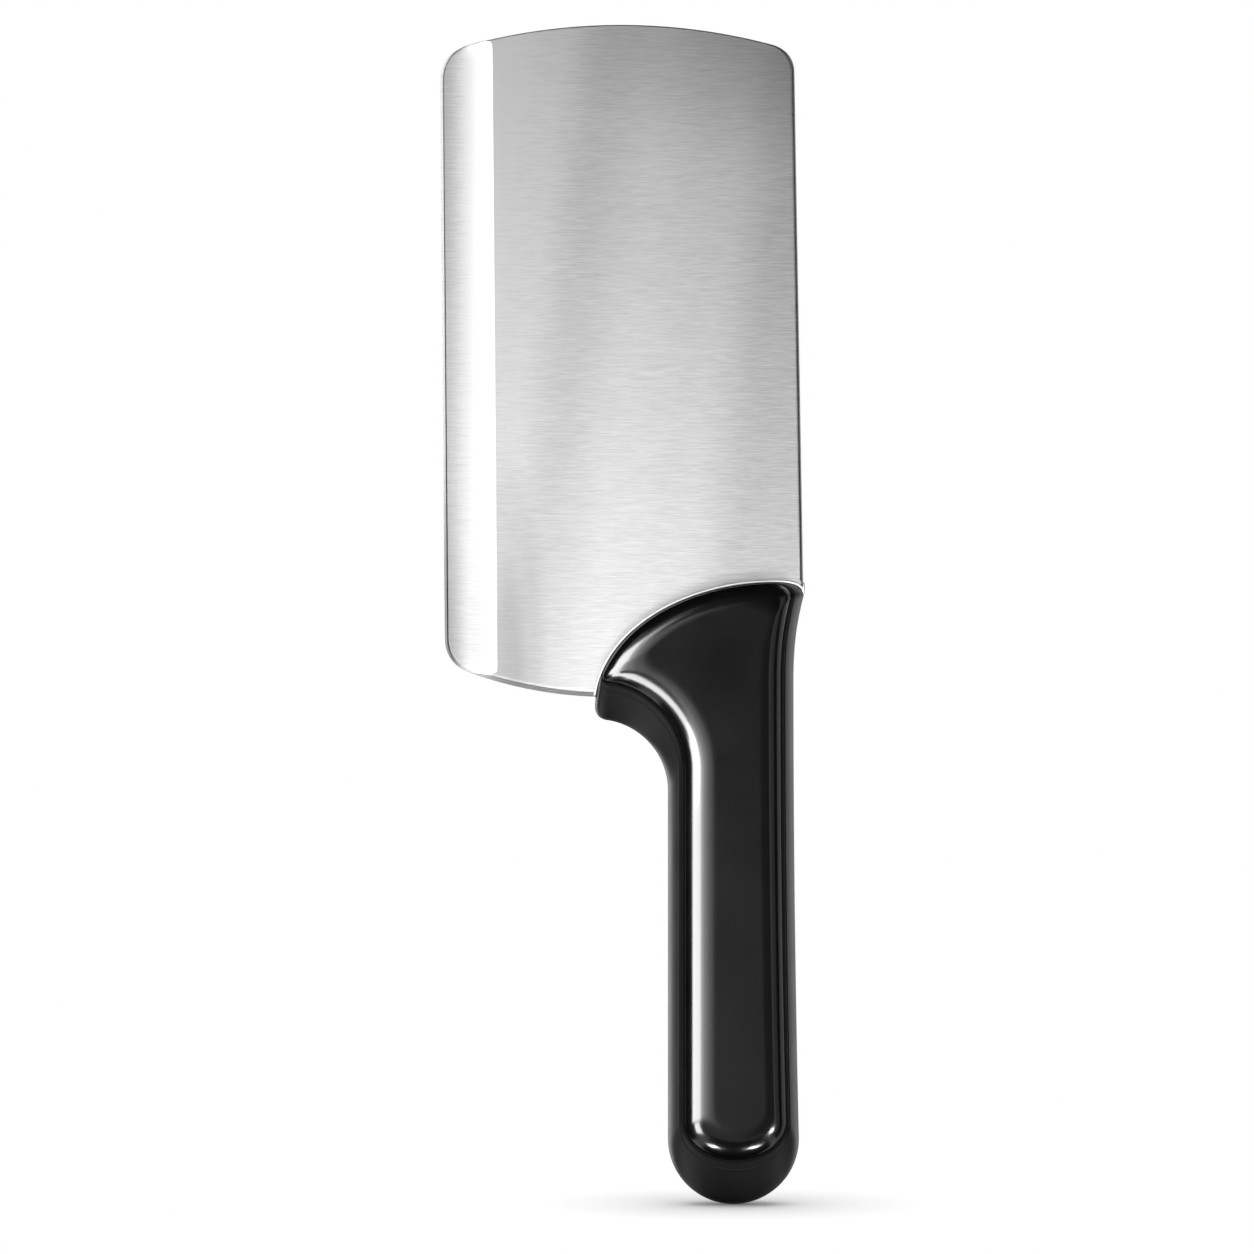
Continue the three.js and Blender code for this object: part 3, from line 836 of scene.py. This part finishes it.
blade = dress(make_blade(), "blade", brushed_steel())
blade.visible_glossy = False  # the black handle beside it mirrors the dark room alone
collar = dress(make_collar(), "collar", polished_steel())

satin = satin_black()
gloss = gloss_black()
rims = []
covers = []
for half in ("front", "back"):
    rim = make_core(f"core_{half}_rim", half == "back")
    cover = make_scale(f"scale_{half}_cover", half == "back")
    rims.append(dress(rim, f"core_{half}", satin))
    covers.append(dress(cover, f"scale_{half}", gloss))

rivet_material = rivet_steel()
for node_name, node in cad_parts.items():
    if node_name.startswith("rivet"):
        node.data.materials.clear()
        node.data.materials.append(rivet_material)


# The studio, in metres

FLOOR_SIZE = 8.0
FLOOR_WHITE = 0.9
SOFT_LIGHT = 0.5  # the even light of the white room on matt surfaces
FADE_START = 0.008  # the table fades into the white room between these distances from the butt
FADE_END = 0.045
VIEW_SCALE = 4.2  # pixels of the photograph to a millimetre of the knife
PHOTO_SIZE = 1254
ORIGIN_PIXEL_X = 621
ORIGIN_PIXEL_Y = 361
CAMERA_DISTANCE = 1.6
SENSOR = 36.0
KNIFE = Vector((0, MIDDLE_Y * MM, 0))


def make_camera():
    camera = link(bpy.data.objects.new("Camera", bpy.data.cameras.new("Camera")))
    width = PHOTO_SIZE / VIEW_SCALE * MM
    middle_x = (PHOTO_SIZE / 2 - ORIGIN_PIXEL_X) / VIEW_SCALE * MM
    middle_z = (ORIGIN_PIXEL_Y - PHOTO_SIZE / 2) / VIEW_SCALE * MM
    camera.data.sensor_width = SENSOR
    camera.data.lens = SENSOR * CAMERA_DISTANCE / width
    camera.location = KNIFE + Vector((middle_x, -CAMERA_DISTANCE, middle_z))
    camera.rotation_euler = (math.pi / 2, 0, 0)
    bpy.context.scene.camera = camera


def light_world():
    """White to the camera and in reflections, and an even soft light on everything else."""
    world = bpy.data.worlds.new("Studio")
    world.use_nodes = True
    bpy.context.scene.world = world
    world.node_tree.nodes.clear()
    nodes = Nodes(world.node_tree)
    rays = nodes.add("LightPath").outputs
    seen = nodes.combine("MAXIMUM", rays["Is Camera Ray"], rays["Is Glossy Ray"])
    any_seen = nodes.combine("MAXIMUM", seen, rays["Is Transmission Ray"])
    white = (*grey(1), 1)
    soft = nodes.add("Background", {"Color": white, "Strength": SOFT_LIGHT})
    backdrop = nodes.add("Background", {"Color": white, "Strength": 1})
    blend = nodes.add("MixShader", {"Fac": any_seen, 1: soft.outputs[0], 2: backdrop.outputs[0]})
    nodes.add("OutputWorld", {"Surface": blend.outputs[0]})


def panel(name, width, height):
    mesh = bpy.data.meshes.new(name)
    w, h = width / 2, height / 2
    mesh.from_pydata([(-w, -h, 0), (w, -h, 0), (w, h, 0), (-w, h, 0)], [], [(0, 1, 2, 3)])
    return link(bpy.data.objects.new(name, mesh))


def make_floor():
    """A white table that keeps the knife's shadow and fades into the white room away from it."""
    floor = panel("floor", FLOOR_SIZE, FLOOR_SIZE)
    floor.location = (GRIP_X * MM, MIDDLE_Y * MM, BUTT_END_Z * MM)
    floor.visible_glossy = False
    floor.visible_shadow = False
    material, nodes, shader = new_material("white_table")
    nodes.tree.nodes.remove(shader)
    matt = nodes.add("BsdfDiffuse", {"Color": (*grey(FLOOR_WHITE), 1)})
    white = nodes.add("Emission", {"Strength": 1})
    away = nodes.add("VectorMath", {0: nodes.add("TexCoord").outputs["Object"]}, operation="LENGTH")
    faded = nodes.portion(away.outputs["Value"], FADE_START, FADE_END)
    on_camera = nodes.add("LightPath").outputs["Is Camera Ray"]
    seen = nodes.combine("MULTIPLY", faded, on_camera)
    nodes.output(nodes.add("MixShader", {"Fac": seen, 1: matt.outputs[0], 2: white.outputs[0]}))
    floor.data.materials.append(material)
    return floor


def aimed(thing, place, target):
    thing.location = place
    thing.rotation_euler = (Vector(target) - Vector(place)).to_track_quat("-Z", "Y").to_euler()


def lit_group(name, pieces):
    """A group of pieces that a lamp is kept to."""
    group = bpy.data.collections.new(name)
    for piece in pieces:
        group.objects.link(piece)
    return group


def softbox(name, group, place, target, width, height, radiance):
    """A lamp kept to a group of pieces, where it shows in reflections only."""
    lamp = bpy.data.lights.new(name, "AREA")
    lamp.shape = "RECTANGLE"
    lamp.size = width
    lamp.size_y = height
    lamp.energy = radiance * math.pi * width * height
    box = link(bpy.data.objects.new(name, lamp))
    aimed(box, place, target)
    box.visible_camera = False
    box.visible_diffuse = False
    box.light_linking.receiver_collection = group
    return box


def card(name, place, target, width, height, glow):
    """A dark card, glowing faintly or not at all, that shapes reflections and is seen nowhere else."""
    sheet = panel(name, width, height)
    aimed(sheet, place, target)
    material, nodes, shader = new_material(name)
    nodes.tree.nodes.remove(shader)
    nodes.output(nodes.add("Emission", {"Strength": glow}))
    sheet.data.materials.append(material)
    sheet.visible_camera = False
    sheet.visible_diffuse = False
    sheet.visible_shadow = False


make_camera()
light_world()
floor = make_floor()
steel_lit = lit_group("steel_lit", [blade, collar])
gloss_lit = lit_group("gloss_lit", covers)
rim_lit = lit_group("rim_lit", rims)
collar_lit = lit_group("collar_lit", [collar])
floor_lit = lit_group("floor_lit", [floor])

# The cards: name, place, the point faced, width, height and glow
card("card_front", (0, -1.9, 0), (0, 0, 0), 4, 3, 0.03)
card("card_left", (-0.55, 0.2, 0), (0, 0.2, 0), 0.7, 1.4, 0)
card("card_right", (0.45, -1.05, 0), (0, 0, 0), 0.75, 1.4, 0.15)
card("card_side", (0.62, -0.14, 0), (0, -0.14, 0), 0.66, 1.4, 0)
card("card_top", (0, -0.1, 0.6), (0, -0.1, 0), 1.1, 0.84, 0)
card("card_high", (0.16, -0.42, 0.34), (0.16, 0, 0.28), 0.6, 0.5, 0)
card("card_corner", (0.19, -0.43, 0.17), (0.19, 0, 0.17), 0.34, 0.42, 0)
card("card_low", (0.05, -0.2, -0.6), (0.05, -0.2, 0), 0.6, 0.9, 0)
card("card_under", (-0.79, -0.42, -0.5), (0, 0, -0.05), 0.45, 0.3, 0)
card("card_behind", (0.8, 0.62, -0.25), (0, 0, -0.05), 0.6, 1.4, 0.4)
card("card_back", (-0.25, 0.4, 0.5), (0, 0, -0.05), 1.2, 0.7, 0)

# The lamps: name, the pieces lit, place, the point faced, width, height and radiance
# On the steel, the bright bevel, the glow low on the face, the line over the heel and the even front
softbox("strip_steel", steel_lit, (-0.333, -0.75, -0.1), (0, 0, -0.05), 0.172, 1.3, 4.5)
softbox("glow_steel", steel_lit, (0.14, -0.45, -0.17), (0.05, 0, 0), 0.36, 0.3, 1.8)
softbox("heel_steel", steel_lit, (-0.06, -0.5, -0.38), (-0.02, 0, -0.08), 0.4, 0.12, 2.4)
softbox("front_steel", steel_lit, (-0.9, -1.85, 0), (-0.9, 0, 0), 2.2, 3, 0.37)
softbox("front_collar", collar_lit, (0, -1.5, 0), (0, 0, 0), 1.0, 1.0, 3)
# On the covers, the bright line along the left border and its fade into the face
softbox("strip_left", gloss_lit, (-0.68, -0.49, 0.065), (0, 0, 0.065), 0.585, 0.87, 26)
softbox("fade_near", gloss_lit, (-0.414, -0.732, 0.085), (0, 0, 0.085), 0.163, 0.83, 9)
softbox("fade_middle", gloss_lit, (-0.273, -0.8, 0.085), (0, 0, 0.085), 0.149, 0.83, 4.5)
softbox("fade_far", gloss_lit, (-0.13, -0.84, 0.085), (0, 0, 0.085), 0.178, 0.83, 2.2)
# The same line under the wing, at its pointed corner and at the butt
softbox("strip_low", gloss_lit, (-0.006, -0.03, -0.097), (0.0068, -0.009, -0.0776), 0.012, 0.02, 24)
softbox("strip_tip", gloss_lit, (-0.015, -0.023, -0.0865), (-0.0034, -0.0095, -0.0747), 0.011, 0.011, 24)
softbox("strip_foot", gloss_lit, (-0.003, -0.027, -0.194), (0.0186, -0.0095, -0.182), 0.012, 0.012, 26)
# The covers' soft light from above, from the right and from the front
softbox("strip_high", gloss_lit, (-0.2, -0.7, 0.4), (0, 0, -0.06), 0.5, 0.1, 3)
softbox("fill_right", gloss_lit, (0.58, -0.33, -0.1), (0, -0.33, -0.1), 0.45, 1.0, 0.5)
softbox("front_gloss", gloss_lit, (0, -1.85, -0.75), (0, 0, -0.75), 1.6, 1.2, 0.5)
# The points of light round the butt
softbox("spot_left", gloss_lit, (-0.055, -0.084, -0.358), (0.022, -0.008, -0.187), 0.05, 0.022, 70)
softbox("spot_right", gloss_lit, (0.09, -0.093, -0.361), (0.032, -0.008, -0.187), 0.05, 0.022, 70)
softbox("spot_corner", gloss_lit, (0.156, -0.136, -0.28), (0.036, -0.009, -0.183), 0.05, 0.022, 70)
# On the satin rims
softbox("rim_left", rim_lit, (-0.45, 0.33, -0.1), (0, 0, -0.1), 0.24, 0.8, 4)
softbox("rim_top", rim_lit, (0.03, -0.6, 0.5), (0.03, 0, -0.2), 0.6, 0.2, 6)
softbox("rim_right", rim_lit, (0.48, 0.32, -0.1), (0.03, 0, -0.1), 0.24, 0.8, 1.4)
softbox("front_rim", rim_lit, (0, -1.85, 0), (0, 0, 0), 4, 3, 0.37)

# The table's own lamp, which gives the knife its shadow there
overhead = softbox("overhead", floor_lit, (0, 0, 1), (0, 0, 0), 1.2, 1.2, 2.1)
overhead.visible_diffuse = True
overhead.visible_glossy = False

bpy.context.scene.view_settings.view_transform = "Standard"
